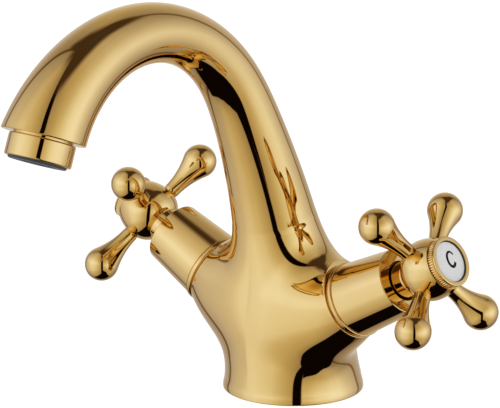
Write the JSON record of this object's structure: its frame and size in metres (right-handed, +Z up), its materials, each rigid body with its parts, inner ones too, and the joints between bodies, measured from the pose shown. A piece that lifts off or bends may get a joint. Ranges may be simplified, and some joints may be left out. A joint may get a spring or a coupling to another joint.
{
  "type": "bathroom mixer faucet",
  "caption": "Single-hole basin mixer with a swan-neck spout, two angled quarter-turn valves with ball-tipped cross handles.",
  "frame": {"origin": "centre of the foot on the deck plane", "axes": "+Z up, the spout points to -Y, the cold valve is on +X and the hot valve on -X"},
  "size_m": [0.1612, 0.164, 0.1501],
  "materials": {
    "polished_gold": "warm yellow gold plating, mirror polished",
    "bare_brass": "machined brass, unplated",
    "ceramic": "lapped alumina ceramic",
    "black_rubber": "moulded black sealing rubber",
    "steel": "bright stainless steel",
    "grey_plastic": "moulded dark grey acetal",
    "white_enamel": "glossy white index button"
  },
  "bodies": {
    "faucet_body": {"body_casting": "polished_gold", "foot_seal": "black_rubber", "aerator_housing": "polished_gold", "aerator_insert": "grey_plastic", "aerator_washer": "black_rubber", "cold_shroud": "polished_gold", "cold_cartridge_body": "bare_brass", "cold_seat_seal": "black_rubber", "cold_fixed_disc": "ceramic", "cold_body_seal": "black_rubber", "cold_spindle_seal": "black_rubber", "hot_shroud": "polished_gold", "hot_cartridge_body": "bare_brass", "hot_seat_seal": "black_rubber", "hot_fixed_disc": "ceramic", "hot_body_seal": "black_rubber", "hot_spindle_seal": "black_rubber"},
    "cold_handle": {"cold_moving_disc": "ceramic", "cold_spindle": "bare_brass", "cold_circlip": "steel", "cold_handle_hub": "polished_gold", "cold_arm_1": "polished_gold", "cold_arm_2": "polished_gold", "cold_arm_3": "polished_gold", "cold_arm_4": "polished_gold", "cold_handle_screw": "steel", "cold_index_ring": "polished_gold", "cold_index_disc": "white_enamel"},
    "hot_handle": {"hot_moving_disc": "ceramic", "hot_spindle": "bare_brass", "hot_circlip": "steel", "hot_handle_hub": "polished_gold", "hot_arm_1": "polished_gold", "hot_arm_2": "polished_gold", "hot_arm_3": "polished_gold", "hot_arm_4": "polished_gold", "hot_handle_screw": "steel", "hot_index_ring": "polished_gold", "hot_index_disc": "white_enamel"}
  },
  "joints": [
    {"name": "cold_handle_turn", "type": "hinge", "parent": "faucet_body", "child": "cold_handle", "pos_m": [0.06544, -0.0052, 0.05561], "axis": [0.8934, 0, 0.4493], "range_deg": [0, 90]},
    {"name": "hot_handle_turn", "type": "hinge", "parent": "faucet_body", "child": "hot_handle", "pos_m": [-0.06544, -0.0052, 0.05561], "axis": [-0.8934, 0, 0.4493], "range_deg": [0, 90]}
  ]
}
